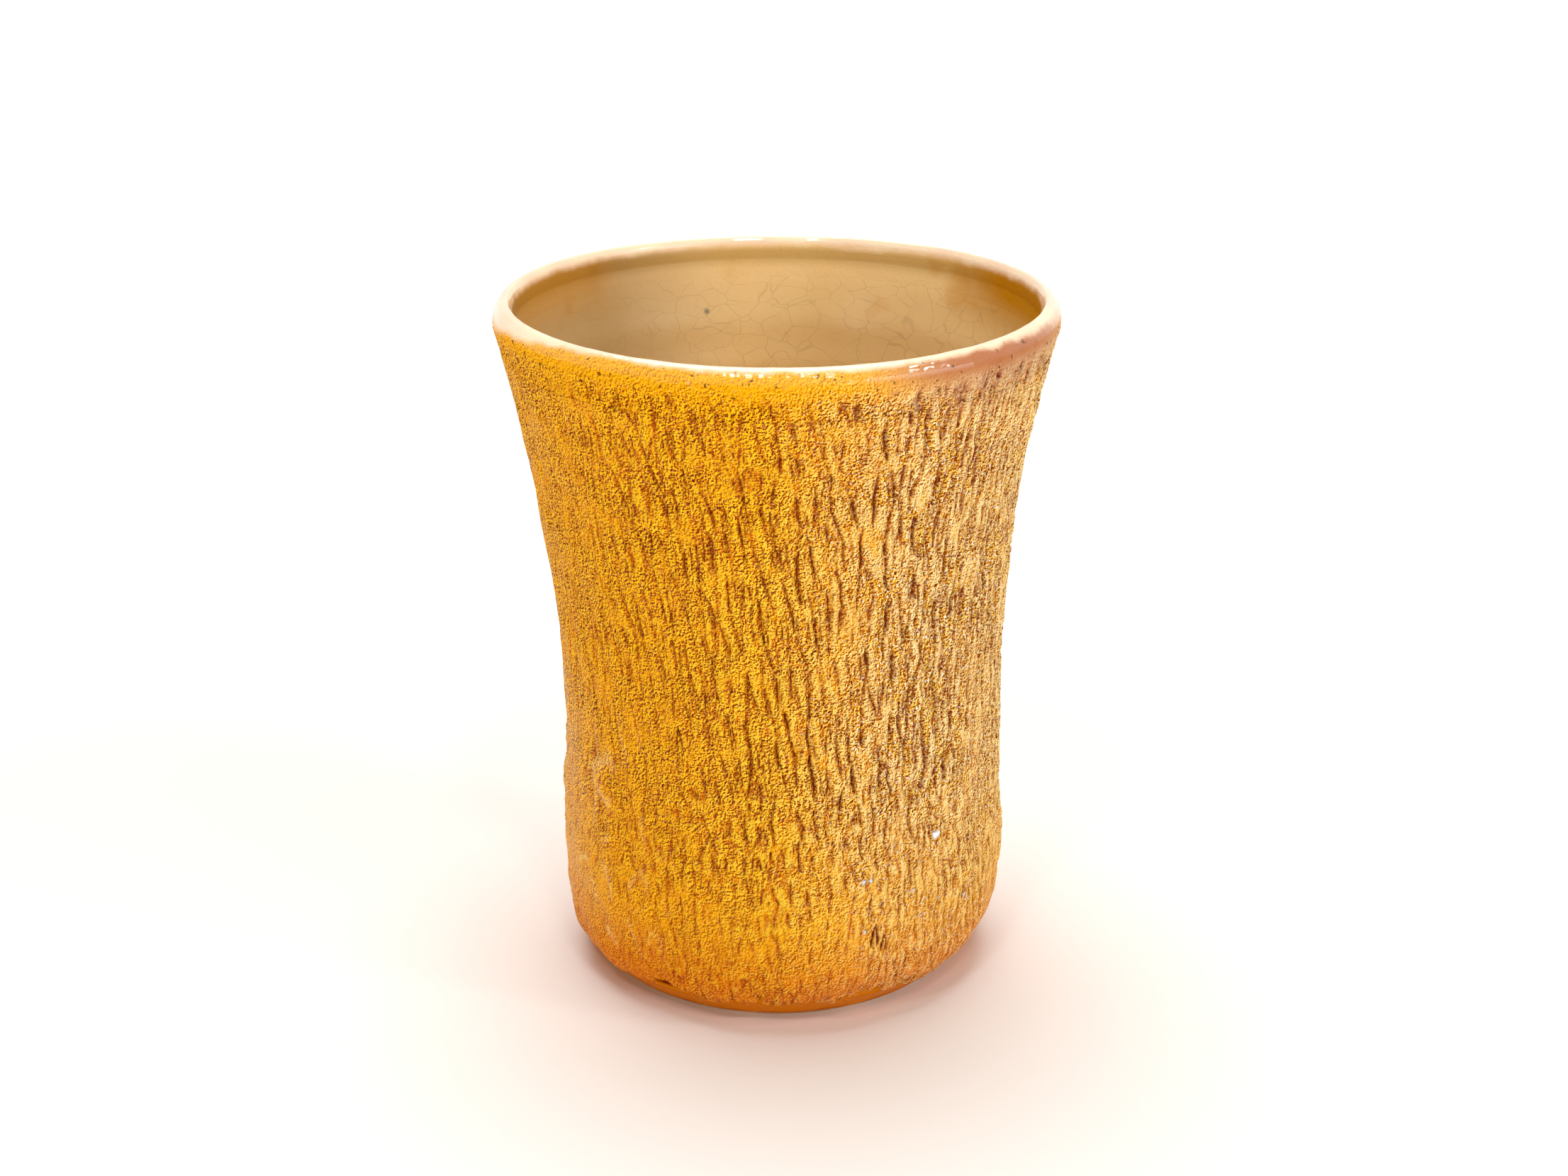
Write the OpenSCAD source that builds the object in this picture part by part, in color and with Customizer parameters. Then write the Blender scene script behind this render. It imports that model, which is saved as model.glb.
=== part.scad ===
// Thrown stoneware wine cup: a turned clay body with four fired-on coats.
// Millimetres, +Z up, origin on the cup's axis where the foot stands.
// Every coat is a shell of its own that lies face to face on the clay.

/* [Cup] */
// Height from the table to the crest of the lip
cup_h = 101; // [85:0.5:130]
// Outside diameter at the widest point of the lip
lip_d = 80; // [72:0.5:100]
// Outside diameter at the waist, the narrowest place of the wall
waist_d = 64.8; // [56:0.2:70]
// Height of the waist above the table
waist_z = 38; // [26:0.5:50]
// Outside diameter at the belly, the fullest place below the waist
belly_d = 66.4; // [60:0.2:72]
// Height of the belly above the table
belly_z = 13; // [9:0.5:20]

/* [Wall] */
// Thickness of wall at the waist and below, with its coats
wall_t = 3.9; // [2.6:0.1:5]
// Thickness of wall where the lip begins, with its coats
lip_t = 3.0; // [2.2:0.1:4]
// Thickness of the clay under the floor's liner glaze
floor_t = 4.5; // [3:0.1:7]
// Radius of the round between the floor and the wall inside
floor_fillet = 9; // [5:0.5:14]

/* [Lip] */
// Drop from the crest of the lip to its widest point
lip_drop = 3.4; // [1.5:0.1:5]
// Share of the lip's thickness that lies outside its crest
crest_share = 0.66; // [0.5:0.01:0.75]
// Height of the smooth glazed band outside, from the crest down
lip_band_h = 7; // [5.5:0.5:12]
// Reach of the lip glaze inside the cup, from the crest down
lip_inside_h = 6; // [5.5:0.5:12]

/* [Foot] */
// Outside diameter of the foot where it stands on the table
foot_d = 52; // [44:0.5:56]
// Height of the bevel that undercuts the wall above the foot
bevel_h = 3.2; // [2:0.1:5]
// Share of the way from the foot's edge out to the belly at which the bevel ends
bevel_share = 0.46; // [0.3:0.01:0.7]
// Height of bare clay left below the glaze on the bevel
foot_bare_h = 0.8; // [0.3:0.1:1.5]
// Width of the ring that the cup stands on
ring_w = 6; // [3:0.5:10]
// Depth of the hollow turned into the underside
recess_h = 1.5; // [0.5:0.1:3]

/* [Coats] */
// Thickness of the ochre coat on the outer wall
coat_t = 0.5; // [0.3:0.05:0.8]
// Thickness of the liner glaze inside
liner_t = 0.4; // [0.2:0.05:0.7]
// Thickness of the lip glaze on the crest
crest_t = 0.45; // [0.2:0.05:0.8]
// Thickness of the glaze on the foot's bevel
foot_glaze_t = 0.3; // [0.15:0.05:0.5]

/* [Hidden] */
$fn = 120;

lip_r = lip_d / 2;
waist_r = waist_d / 2;
belly_r = belly_d / 2;
foot_r = foot_d / 2;
bevel_r = foot_r + (belly_r - foot_r) * bevel_share;
crest_r = lip_r - lip_t * crest_share;

// Heights at which one coat gives way to the next
lip_z = cup_h - lip_drop;
band_z = cup_h - lip_band_h;
inside_z = cup_h - lip_inside_h;
floor_z = recess_h + floor_t + liner_t;
fillet_z = floor_z + floor_fillet;

// The flare is one arc, upright at the waist, that reaches the lip's widest point.
flare_rise = lip_z - waist_z;
flare_out = lip_r - waist_r;
flare_r = (flare_rise ^ 2 + flare_out ^ 2) / (2 * flare_out);
// The heel turns in below the belly by this power of the height.
heel_power = 3;

// Number of steps along each stretch of the outline
heel_steps = 10;
belly_steps = 10;
flare_steps = 18;
band_steps = 3;
round_steps = 8;

// Heights from a to b in n equal steps, without a itself
function steps(a, b, n) = [for (i = [1:n]) a + (b - a) * i / n];

// The list turned end for end
function backwards(list) = [for (i = [len(list) - 1:-1:0]) list[i]];

// Outer radius of the finished cup at height z, between the bevel and the lip
function heel_r(z) = belly_r - (belly_r - bevel_r) * ((belly_z - z) / (belly_z - bevel_h)) ^ heel_power;
function swell_r(z) =
  waist_r + (belly_r - waist_r) * (1 - cos(180 * (waist_z - z) / (waist_z - belly_z))) / 2;
function flared_r(z) = waist_r + flare_r - sqrt(flare_r ^ 2 - (z - waist_z) ^ 2);
function wall_r(z) = z < belly_z ? heel_r(z) : z < waist_z ? swell_r(z) : flared_r(z);

// Thickness of the whole wall at height z: even up to the waist, then thinning to the lip
function thickness(z) = wall_t + (lip_t - wall_t) * max(0, z - waist_z) / flare_rise;
function inner_r(z) = wall_r(z) - thickness(z);

// Heights that the outline is drawn through, shared by the clay and the coats on it
coat_heights = concat(
  [bevel_h],
  steps(bevel_h, belly_z, heel_steps),
  steps(belly_z, waist_z, belly_steps),
  steps(waist_z, band_z, flare_steps)
);
band_heights = concat([band_z], steps(band_z, lip_z, band_steps));
liner_heights = concat(
  [fillet_z],
  steps(fillet_z, waist_z, belly_steps),
  steps(waist_z, inside_z, flare_steps)
);
inside_heights = concat([inside_z], steps(inside_z, lip_z, band_steps));

// Lines of the outline, in [radius, height], moved into the wall by inset
function outer_line(heights, inset = 0) = [for (z = heights) [wall_r(z) - inset, z]];
function inner_line(heights, inset = 0) = [for (z = heights) [inner_r(z) + inset, z]];

// The round of the lip from outside, over the crest, to inside
function lip_line(out_inset = 0, top_inset = 0, in_inset = 0) =
  let (
    rise = lip_drop - top_inset,
    out = lip_r - out_inset - crest_r,
    in = crest_r - (lip_r - lip_t + in_inset)
  )
  [for (i = [1:2 * round_steps - 1])
    let (turn = 90 * i / round_steps)
    [crest_r + (turn < 90 ? out : in) * cos(turn), lip_z + rise * sin(turn)]];

// The floor inside, from the axis out and up the fillet to the wall, moved into the clay by inset
function floor_line(inset = 0) =
  let (
    middle_r = inner_r(fillet_z) - floor_fillet,
    reach = floor_fillet + inset
  )
  concat(
    [[0, floor_z - inset]],
    [for (i = [0:round_steps - 1])
      let (turn = 90 * i / round_steps)
      [middle_r + reach * sin(turn), fillet_z - reach * cos(turn)]]
  );

// The bevel over the foot, from its height low to its top, moved out of the clay by proud
function bevel_line(low, proud = 0) =
  let (
    top_r = bevel_r - coat_t,
    slope = (top_r - foot_r) / bevel_h
  )
  [for (z = [low, bevel_h]) [foot_r + slope * z + proud, z]];

// The underside, from the axis out to the edge of the foot
function foot_line() =
  let (ring_in = foot_r - ring_w)
  [[0, recess_h], [ring_in - recess_h, recess_h], [ring_in, 0], [foot_r, 0]];

// A shell of revolution between an outer line and an inner line, both drawn upwards
module shell(outer, inner) {
  rotate_extrude() polygon(concat(outer, backwards(inner)));
}

// The clay: wall, floor and turned foot, thrown in one piece
module clay_body() {
  outside = concat(
    foot_line(),
    outer_line(coat_heights, coat_t),
    [for (i = [1:band_steps]) outer_line(band_heights, coat_t)[i]]
  );
  inside = concat(
    floor_line(liner_t),
    inner_line(liner_heights, liner_t),
    [for (i = [1:band_steps]) inner_line(inside_heights, liner_t)[i]],
    backwards(lip_line(coat_t, crest_t, liner_t))
  );
  color("sienna") shell(outside, inside);
}

// The ochre coat on the outer wall, from the bevel's top edge to the band under the lip
module wall_coat() {
  color("goldenrod") shell(outer_line(coat_heights), outer_line(coat_heights, coat_t));
}

// The paler glaze that caps the lip, from the band outside over the crest to inside
module lip_glaze() {
  cap = concat(outer_line(band_heights), lip_line(), backwards(inner_line(inside_heights)));
  core = concat(
    outer_line(band_heights, coat_t),
    lip_line(coat_t, crest_t, liner_t),
    backwards(inner_line(inside_heights, liner_t))
  );
  color("burlywood") shell(cap, core);
}

// The crackled liner glaze on the floor and the wall inside
module liner_glaze() {
  color("tan") shell(
    concat(floor_line(liner_t), inner_line(liner_heights, liner_t)),
    concat(floor_line(), inner_line(liner_heights))
  );
}

// The smooth glaze on the bevel, which stops short of the table
module foot_glaze() {
  color("darkgoldenrod") shell(bevel_line(foot_bare_h, foot_glaze_t), bevel_line(foot_bare_h));
}

clay_body();
wall_coat();
lip_glaze();
liner_glaze();
foot_glaze();
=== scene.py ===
"""Looks of a thrown stoneware wine cup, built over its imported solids.

Places are in metres in the part's own frame: +Z is up along the cup's axis and the side that
the photograph shows faces -Y. The pieces take their outlines from the frame's nodes. Sizes of
texture are in millimetres, because that is how a maker would measure them. An angle round the
cup is 0 where it faces the photograph's camera and grows towards +X.
"""

import logging
import math
from dataclasses import dataclass
from enum import Enum
from functools import cache

import bpy
import numpy as np
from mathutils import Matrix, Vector
from mathutils.bvhtree import BVHTree


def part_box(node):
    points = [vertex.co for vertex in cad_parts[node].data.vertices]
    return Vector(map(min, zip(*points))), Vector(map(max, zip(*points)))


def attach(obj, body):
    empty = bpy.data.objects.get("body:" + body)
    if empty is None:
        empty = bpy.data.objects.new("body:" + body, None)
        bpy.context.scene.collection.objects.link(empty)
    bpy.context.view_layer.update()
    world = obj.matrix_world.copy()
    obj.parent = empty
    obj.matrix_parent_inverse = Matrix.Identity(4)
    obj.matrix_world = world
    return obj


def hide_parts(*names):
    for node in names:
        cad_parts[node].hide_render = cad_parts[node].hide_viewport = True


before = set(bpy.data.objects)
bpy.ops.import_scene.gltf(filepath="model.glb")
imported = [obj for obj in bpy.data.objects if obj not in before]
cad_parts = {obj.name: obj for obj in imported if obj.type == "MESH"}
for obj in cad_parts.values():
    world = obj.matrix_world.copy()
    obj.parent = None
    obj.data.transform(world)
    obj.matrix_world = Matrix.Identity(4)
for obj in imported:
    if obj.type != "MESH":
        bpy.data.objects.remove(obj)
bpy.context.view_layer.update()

MM = 0.001
LOG = logging.getLogger("wine_cup")
# Share of a full mirror gloss under the coats
DULL = 0.02
GLASS_IOR = 1.5
# Way in from the lip's widest point to its crest
CREST_INSET_MM = 2.0

Colour = tuple[float, float, float]
# A place or a direction
Spot = tuple[float, float, float]
# Two values between which a share eases from 0 to 1, in either order
Span = tuple[float, float]
Term = "Value | float"


class Side(Enum):
    """The side of a turned wall that a line of its cross-section follows."""

    OUTER = "outer"
    INNER = "inner"


class Ends(Enum):
    """How the cross-section of a turned mesh ends."""

    LOOP = "it closes on itself"
    POLES = "it starts and ends on the axis"


class Blend(Enum):
    """How one colour is laid over another."""

    OVER = "MIX"
    MULTIPLY = "MULTIPLY"


def smooth(low: float, high: float, value: np.ndarray) -> np.ndarray:
    """Eases from 0 at low to 1 at high.

    Args:
        low: Value that gives 0. It may be above high.
        high: Value that gives 1.
        value: The values to ease.

    Returns:
        The eased values.
    """
    share = np.clip((value - low) / (high - low), 0.0, 1.0)
    return share * share * (3.0 - 2.0 * share)


@cache
def solid(node: str) -> BVHTree:
    """Gives a CAD node's faces, ready to be felt with rays.

    Args:
        node: Name of the CAD node.

    Returns:
        The faces in the part's frame.
    """
    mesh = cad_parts[node].data
    spots = [vertex.co for vertex in mesh.vertices]
    return BVHTree.FromPolygons(spots, [face.vertices for face in mesh.polygons])


def feel(node: str, heights: np.ndarray, side: Side) -> np.ndarray:
    """Feels the radius of a turned CAD node at each height.

    Args:
        node: Name of the CAD node.
        heights: Heights in metres, inside the node's own reach.
        side: Whether the node is felt from outside or from the axis.

    Returns:
        One radius in metres for each height.
    """
    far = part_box(node)[1].x * 2
    start, way = (far, -1.0) if side is Side.OUTER else (0.0, 1.0)
    radii = []
    for height in heights:
        spot = solid(node).ray_cast(Vector((start, 0.0, height)), Vector((way, 0.0, 0.0)))[0]
        if spot is None:
            raise ValueError(f"{node} has no {side.value} wall at {height:.4f} m")
        radii.append(math.hypot(spot.x, spot.y))
    return np.array(radii)


def tuck(
    node: str, side: Side, start: float, stop: float, depth: float, dive: float = 0.04
) -> np.ndarray:
    """Runs a line on under a neighbour's surface, so that no gap shows where they meet.

    Args:
        node: The CAD node whose surface hides the line.
        side: The side of that node that is seen.
        start: Height at which the line goes under, in metres.
        stop: Height at which it ends.
        depth: Depth under the surface at the end.
        dive: Share of the depth that the line takes at once.

    Returns:
        Points as rows of (radius, height), from start to stop.
    """
    share = np.array([0.04, 0.3, 1.0])
    heights = start + (stop - start) * share
    sunk = depth * (dive + (1.0 - dive) * share**2)
    radii = feel(node, heights, side) - sunk * (1 if side is Side.OUTER else -1)
    return np.column_stack([radii, heights])


def outline(node: str, side: Side, count: int, edge: float = 0.01 * MM) -> np.ndarray:
    """Reads a line of a CAD node's cross-section from bottom to top.

    Args:
        node: Name of the CAD node.
        side: The side of the wall to follow.
        count: Number of points, which lie closer together near both ends.
        edge: Distance kept from the node's lowest and highest point.

    Returns:
        Points as rows of (radius, height) in metres.
    """
    low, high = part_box(node)
    share = 0.5 - 0.5 * np.cos(np.linspace(0.0, math.pi, count))
    heights = low.z + edge + (high.z - low.z - 2 * edge) * share
    return np.column_stack([feel(node, heights, side), heights])


def resample(line: np.ndarray, count: int) -> np.ndarray:
    """Spreads points evenly along a line, on a smooth curve through its points.

    Args:
        line: Points as rows of (radius, height).
        count: Number of points wanted.

    Returns:
        The new points as rows of (radius, height).
    """
    span = np.linalg.norm(np.diff(line, axis=0), axis=1)
    way = np.concatenate([[0.0], np.cumsum(span)])
    lean = np.gradient(line, way, axis=0)
    wanted = np.linspace(0.0, way[-1], count)
    first = np.clip(np.searchsorted(way, wanted, "right") - 1, 0, len(span) - 1)
    step = span[first][:, None]
    part = (wanted - way[first])[:, None] / step
    rest = 1.0 - part
    return (
        line[first] * (1 + 2 * part) * rest**2
        + lean[first] * step * part * rest**2
        + line[first + 1] * (1 + 2 * rest) * part**2
        - lean[first + 1] * step * rest * part**2
    )


def normals_of(line: np.ndarray) -> np.ndarray:
    """Finds the unit normal at each point of a line, on its right-hand side as it is followed.

    Args:
        line: Points as rows of (radius, height).

    Returns:
        One unit vector for each point.
    """
    along = np.gradient(line, axis=0)
    along /= np.linalg.norm(along, axis=1, keepdims=True)
    return np.column_stack([along[:, 1], -along[:, 0]])


def turned(line: np.ndarray, angles: np.ndarray) -> np.ndarray:
    """Turns a line of the cross-section round the axis.

    Args:
        line: Points as rows of (radius, height), or one such line for each angle.
        angles: Angles round the cup in radians.

    Returns:
        Points as an array of line points by angles by 3.
    """
    radius, height = (line[..., 0], line[..., 1]) if line.ndim == 3 else (line[:, :1], line[:, 1:])
    spots = np.empty((line.shape[0], len(angles), 3))
    spots[..., 0] = radius * np.sin(angles)
    spots[..., 1] = -radius * np.cos(angles)
    spots[..., 2] = height
    return spots


def round_angles(count: int) -> np.ndarray:
    """Gives evenly spaced angles round the cup, from straight behind it."""
    return np.linspace(-math.pi, math.pi, count, endpoint=False)


def grid_mesh(name: str, grid: np.ndarray, ends: Ends) -> bpy.types.Object:
    """Makes a closed, smooth mesh from rings of points.

    Args:
        name: Name of the piece.
        grid: Points as rings by columns by 3. Rings run up the outside and down the inside.
        ends: Whether the section closes on itself or ends at points on the axis.

    Returns:
        The new object, in the scene.
    """
    rings, columns = grid.shape[:2]
    spots = grid.reshape(-1, 3)
    index = np.arange(rings * columns).reshape(rings, columns)
    if ends is Ends.LOOP:
        low, high = index, np.roll(index, -1, axis=0)
    else:
        low, high = index[:-1], index[1:]
    quads = np.stack([low, np.roll(low, -1, 1), np.roll(high, -1, 1), high], axis=-1).reshape(-1, 4)
    fans = np.empty((0, 3), int)
    if ends is Ends.POLES:
        first, last = len(spots), len(spots) + 1
        spots = np.vstack([spots, grid[0].mean(axis=0), grid[-1].mean(axis=0)])
        bottom = [np.roll(index[0], -1), index[0], np.full(columns, first)]
        top = [index[-1], np.roll(index[-1], -1), np.full(columns, last)]
        fans = np.vstack([np.column_stack(bottom), np.column_stack(top)])
    mesh = bpy.data.meshes.new(name)
    corners = np.concatenate([quads.ravel(), fans.ravel()])
    sizes = np.concatenate([np.full(len(quads), 4), np.full(len(fans), 3)])
    mesh.vertices.add(len(spots))
    mesh.vertices.foreach_set("co", spots.astype(np.float32).ravel())
    mesh.loops.add(len(corners))
    mesh.loops.foreach_set("vertex_index", corners.astype(np.int32))
    mesh.polygons.add(len(sizes))
    starts = np.concatenate([[0], np.cumsum(sizes)[:-1]])
    mesh.polygons.foreach_set("loop_start", starts.astype(np.int32))
    mesh.polygons.foreach_set("loop_total", sizes.astype(np.int32))
    mesh.polygons.foreach_set("use_smooth", np.ones(len(sizes), bool))
    mesh.update(calc_edges=True)
    mesh.validate()
    made = bpy.data.objects.new(name, mesh)
    bpy.context.scene.collection.objects.link(made)
    return made


def softened(sheet: np.ndarray, times: int) -> np.ndarray:
    """Averages a sheet that closes round the cup with its neighbours, over a growing reach.

    Args:
        sheet: Values as rings by columns.
        times: Number of rounds, each of which reaches one place further.

    Returns:
        The softened values.
    """
    for reach in range(1, times + 1):
        sheet = (np.roll(sheet, reach, 1) + sheet + np.roll(sheet, -reach, 1)) / 3
        wide = np.pad(sheet, ((reach, reach), (0, 0)), "edge")
        sheet = (wide[: -2 * reach] + sheet + wide[2 * reach :]) / 3
    return sheet


def paint(piece: bpy.types.Object, name: str, values: np.ndarray) -> None:
    """Stores one number for each vertex of a piece, for its material to read.

    Args:
        piece: The piece to paint.
        name: Name of the layer.
        values: One value per vertex. Missing ones at the end are 0.
    """
    layer = piece.data.attributes.new(name, "FLOAT", "POINT")
    full = np.zeros(len(piece.data.vertices), np.float32)
    full[: values.size] = values.ravel()
    layer.data.foreach_set("value", full)


@dataclass(frozen=True)
class CellNoise:
    """Soft random hills over the wall that close round the cup."""

    seed: int
    across_mm: float
    up_mm: float

    def at(self, arc: np.ndarray, height: np.ndarray, girth: float) -> np.ndarray:
        """Gives the hills' height, about -1 to 1.

        Args:
            arc: Way round the cup in millimetres, from -girth / 2 to girth / 2.
            height: Height in millimetres above the table.
            girth: Length of the whole way round in millimetres.

        Returns:
            One value for each place.
        """
        columns = max(3, round(girth / self.across_mm))
        across = (arc / girth + 0.5) * columns
        up = height / self.up_mm
        rows = int(up.max()) + 3
        turn = np.random.default_rng(self.seed).uniform(0.0, math.tau, (rows, columns))
        lean = np.stack([np.cos(turn), np.sin(turn)])
        column, row = np.floor(across).astype(int), np.floor(up).astype(int)
        part, rise = across - column, up - row

        def pull(right: int, above: int) -> np.ndarray:
            """Slope of one corner of the cell, felt at each place."""
            east, north = lean[:, row + above, (column + right) % columns]
            return east * (part - right) + north * (rise - above)

        ease_u = part**3 * (part * (part * 6 - 15) + 10)
        ease_v = rise**3 * (rise * (rise * 6 - 15) + 10)
        bottom = pull(0, 0) * (1 - ease_u) + pull(1, 0) * ease_u
        top = pull(0, 1) * (1 - ease_u) + pull(1, 1) * ease_u
        return 1.5 * (bottom * (1 - ease_v) + top * ease_v)


class Value:
    """An output of a node that Python's operators turn into Math nodes."""

    def __init__(self, graph: "Graph", socket: bpy.types.NodeSocket) -> None:
        """Wraps one socket of a graph."""
        self.graph = graph
        self.socket = socket

    def __add__(self, other: Term) -> "Value":
        """Adds."""
        return self.graph.math("ADD", self, other)

    __radd__ = __add__

    def __sub__(self, other: Term) -> "Value":
        """Takes other away."""
        return self.graph.math("SUBTRACT", self, other)

    def __rsub__(self, other: Term) -> "Value":
        """Takes this away from other."""
        return self.graph.math("SUBTRACT", other, self)

    def __mul__(self, other: Term) -> "Value":
        """Multiplies."""
        return self.graph.math("MULTIPLY", self, other)

    __rmul__ = __mul__

    def __truediv__(self, other: Term) -> "Value":
        """Divides by other."""
        return self.graph.math("DIVIDE", self, other)

    def __rtruediv__(self, other: Term) -> "Value":
        """Divides other by this."""
        return self.graph.math("DIVIDE", other, self)

    def __neg__(self) -> "Value":
        """Turns the sign round."""
        return self.graph.math("MULTIPLY", self, -1.0)

    def ease(self, low: float, high: float) -> "Value":
        """Eases from 0 at low to 1 at high.

        Args:
            low: Value that gives 0. It may be above high.
            high: Value that gives 1.

        Returns:
            The eased value.
        """
        flip = low > high
        settings = {"interpolation_type": "SMOOTHSTEP"}
        inputs = {
            "Value": self,
            "From Min": min(low, high),
            "From Max": max(low, high),
            "To Min": float(flip),
            "To Max": float(not flip),
        }
        return self.graph.out("ShaderNodeMapRange", "Result", settings, inputs)


class Graph:
    """The node tree of one material, and the few ways in which nodes are added to it."""

    MIX_FACTOR, MIX_A, MIX_B, MIX_RESULT = 0, 6, 7, 2

    def __init__(self, owner: bpy.types.Material | bpy.types.World) -> None:
        """Starts an empty node tree.

        Args:
            owner: The new material or world that the tree belongs to.
        """
        self.owner = owner
        owner.use_nodes = True
        self.tree = owner.node_tree
        self.tree.nodes.clear()

    @classmethod
    def material(cls, name: str) -> "Graph":
        """Starts a new material."""
        return cls(bpy.data.materials.new(name))

    def node(
        self, kind: str, settings: dict | None = None, inputs: dict | None = None
    ) -> bpy.types.Node:
        """Adds a node.

        Args:
            kind: Blender's name of the node's type.
            settings: Properties of the node, which are set first.
            inputs: Values or links by the socket's name or number.

        Returns:
            The new node.
        """
        made = self.tree.nodes.new(kind)
        for name, value in (settings or {}).items():
            setattr(made, name, value)
        for name, value in (inputs or {}).items():
            if isinstance(value, Value):
                self.tree.links.new(value.socket, made.inputs[name])
            elif isinstance(value, tuple) and made.inputs[name].type == "RGBA":
                made.inputs[name].default_value = (*value, 1.0)
            else:
                made.inputs[name].default_value = value
        return made

    def out(
        self,
        kind: str,
        output: str | int,
        settings: dict | None = None,
        inputs: dict | None = None,
    ) -> Value:
        """Adds a node and takes one of its outputs."""
        return Value(self, self.node(kind, settings, inputs).outputs[output])

    def math(self, operation: str, *terms: Term) -> Value:
        """Adds a Math node."""
        return self.out("ShaderNodeMath", 0, {"operation": operation}, dict(enumerate(terms)))

    def mix(self, share: Term, under: object, over: object, blend: Blend = Blend.OVER) -> Value:
        """Lays one colour over another.

        Args:
            share: Share of the upper colour, from 0 to 1.
            under: The lower colour.
            over: The upper colour.
            blend: How the two are laid over each other.

        Returns:
            The mixed colour.
        """
        settings = {"data_type": "RGBA", "blend_type": blend.value, "clamp_factor": True}
        inputs = {self.MIX_FACTOR: share, self.MIX_A: under, self.MIX_B: over}
        return self.out("ShaderNodeMix", self.MIX_RESULT, settings, inputs)

    def place(self) -> Value:
        """Gives the place on the piece, in the part's frame."""
        return self.out("ShaderNodeTexCoord", "Object")

    def split(self, vector: Value) -> tuple[Value, Value, Value]:
        """Takes a vector apart."""
        parts = self.node("ShaderNodeSeparateXYZ", None, {"Vector": vector})
        return tuple(Value(self, parts.outputs[name]) for name in "XYZ")

    def stretched(self, vector: Value, factors: Spot) -> Value:
        """Multiplies a vector part by part."""
        inputs = {0: vector, 1: factors}
        return self.out("ShaderNodeVectorMath", 0, {"operation": "MULTIPLY"}, inputs)

    def noise(self, vector: Value, size_mm: float, detail: float = 2.0, seed: float = 0.0) -> Value:
        """Adds noise whose lumps are about size_mm across, from 0 to 1."""
        inputs = {"Vector": vector, "Scale": 1.0 / (size_mm * MM), "Detail": detail, "W": seed}
        return self.out("ShaderNodeTexNoise", "Fac", {"noise_dimensions": "4D"}, inputs)

    def warped(self, vector: Value, size_mm: float, reach_mm: float) -> Value:
        """Moves places about at random.

        Args:
            vector: The places.
            size_mm: Rough size of the lumps that move together.
            reach_mm: Twice the furthest way that a place is moved.

        Returns:
            The moved places.
        """
        inputs = {"Vector": vector, "Scale": 1.0 / (size_mm * MM), "Detail": 2.0}
        push = self.out("ShaderNodeTexNoise", "Color", None, inputs)
        inputs = {0: push, 1: (reach_mm * MM,) * 3, 2: vector}
        return self.out("ShaderNodeVectorMath", 0, {"operation": "MULTIPLY_ADD"}, inputs)

    def cracks(self, vector: Value, size_mm: float) -> Value:
        """Gives the distance to the edges of random cells.

        Args:
            vector: The places.
            size_mm: Rough size of the cells.

        Returns:
            The distance in cell sizes.
        """
        inputs = {"Vector": vector, "Scale": 1.0 / (size_mm * MM)}
        settings = {"feature": "DISTANCE_TO_EDGE"}
        return self.out("ShaderNodeTexVoronoi", "Distance", settings, inputs)

    def away_mm(self, vector: Value, spot_mm: Spot) -> Value:
        """Gives the distance from a spot in millimetres."""
        inputs = {0: vector, 1: tuple(part * MM for part in spot_mm)}
        return self.out("ShaderNodeVectorMath", "Value", {"operation": "DISTANCE"}, inputs) / MM

    def painted(self, name: str) -> Value:
        """Reads a layer that is painted on the piece."""
        return self.out("ShaderNodeAttribute", "Fac", {"attribute_name": name})

    def bump(self, height: Value, depth_mm: float, strength: float = 1.0) -> Value:
        """Gives the normal of a surface with fine relief."""
        inputs = {"Height": height, "Strength": strength, "Distance": depth_mm * MM}
        return self.out("ShaderNodeBump", "Normal", None, inputs)

    def shown(self) -> Value:
        """Picks the rays that show the background: straight, mirrored or through glass.

        Returns:
            1 for those rays, 0 for the rest.
        """
        kinds = ("Is Camera Ray", "Is Glossy Ray", "Is Transmission Ray")
        straight, mirrored, through = (self.out("ShaderNodeLightPath", kind) for kind in kinds)
        return self.math("MAXIMUM", self.math("MAXIMUM", straight, mirrored), through)

    def surface(self, inputs: dict) -> bpy.types.Material:
        """Ends the material in one Principled surface.

        Args:
            inputs: Values or links by the name of the surface's socket.

        Returns:
            The finished material.
        """
        made = self.out("ShaderNodeBsdfPrincipled", "BSDF", None, inputs)
        self.node("ShaderNodeOutputMaterial", None, {"Surface": made})
        return self.owner

    def glaze(self, inputs: dict) -> bpy.types.Material:
        """Ends the material in a glaze, whose gloss lies in its coat."""
        return self.surface({"IOR": GLASS_IOR, "Specular IOR Level": DULL, **inputs})


@dataclass(frozen=True)
class Round:
    """Where a place lies round the cup, as values that close on themselves."""

    across: Value
    facing: Value
    height_mm: Value
    radius_mm: Value

    @classmethod
    def of(cls, graph: Graph, place: Value) -> "Round":
        """Works the values out.

        Args:
            graph: The material's graph.
            place: Place in the part's frame.

        Returns:
            The values at each place.
        """
        x, y, z = graph.split(place)
        radius = graph.math("SQRT", x * x + y * y)
        return cls(x / radius, -y / radius, z / MM, radius / MM)

    def toward(self, degrees: float, half_width: float) -> Value:
        """Marks one side of the cup.

        Args:
            degrees: Angle round the cup at which the side lies.
            half_width: Angle to either side of it at which the mark ends.

        Returns:
            1 at that angle, easing to 0 at the ends.
        """
        turn = math.radians(degrees)
        near = self.across * math.sin(turn) + self.facing * math.cos(turn)
        return near.ease(math.cos(math.radians(half_width)), 1.0)


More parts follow.
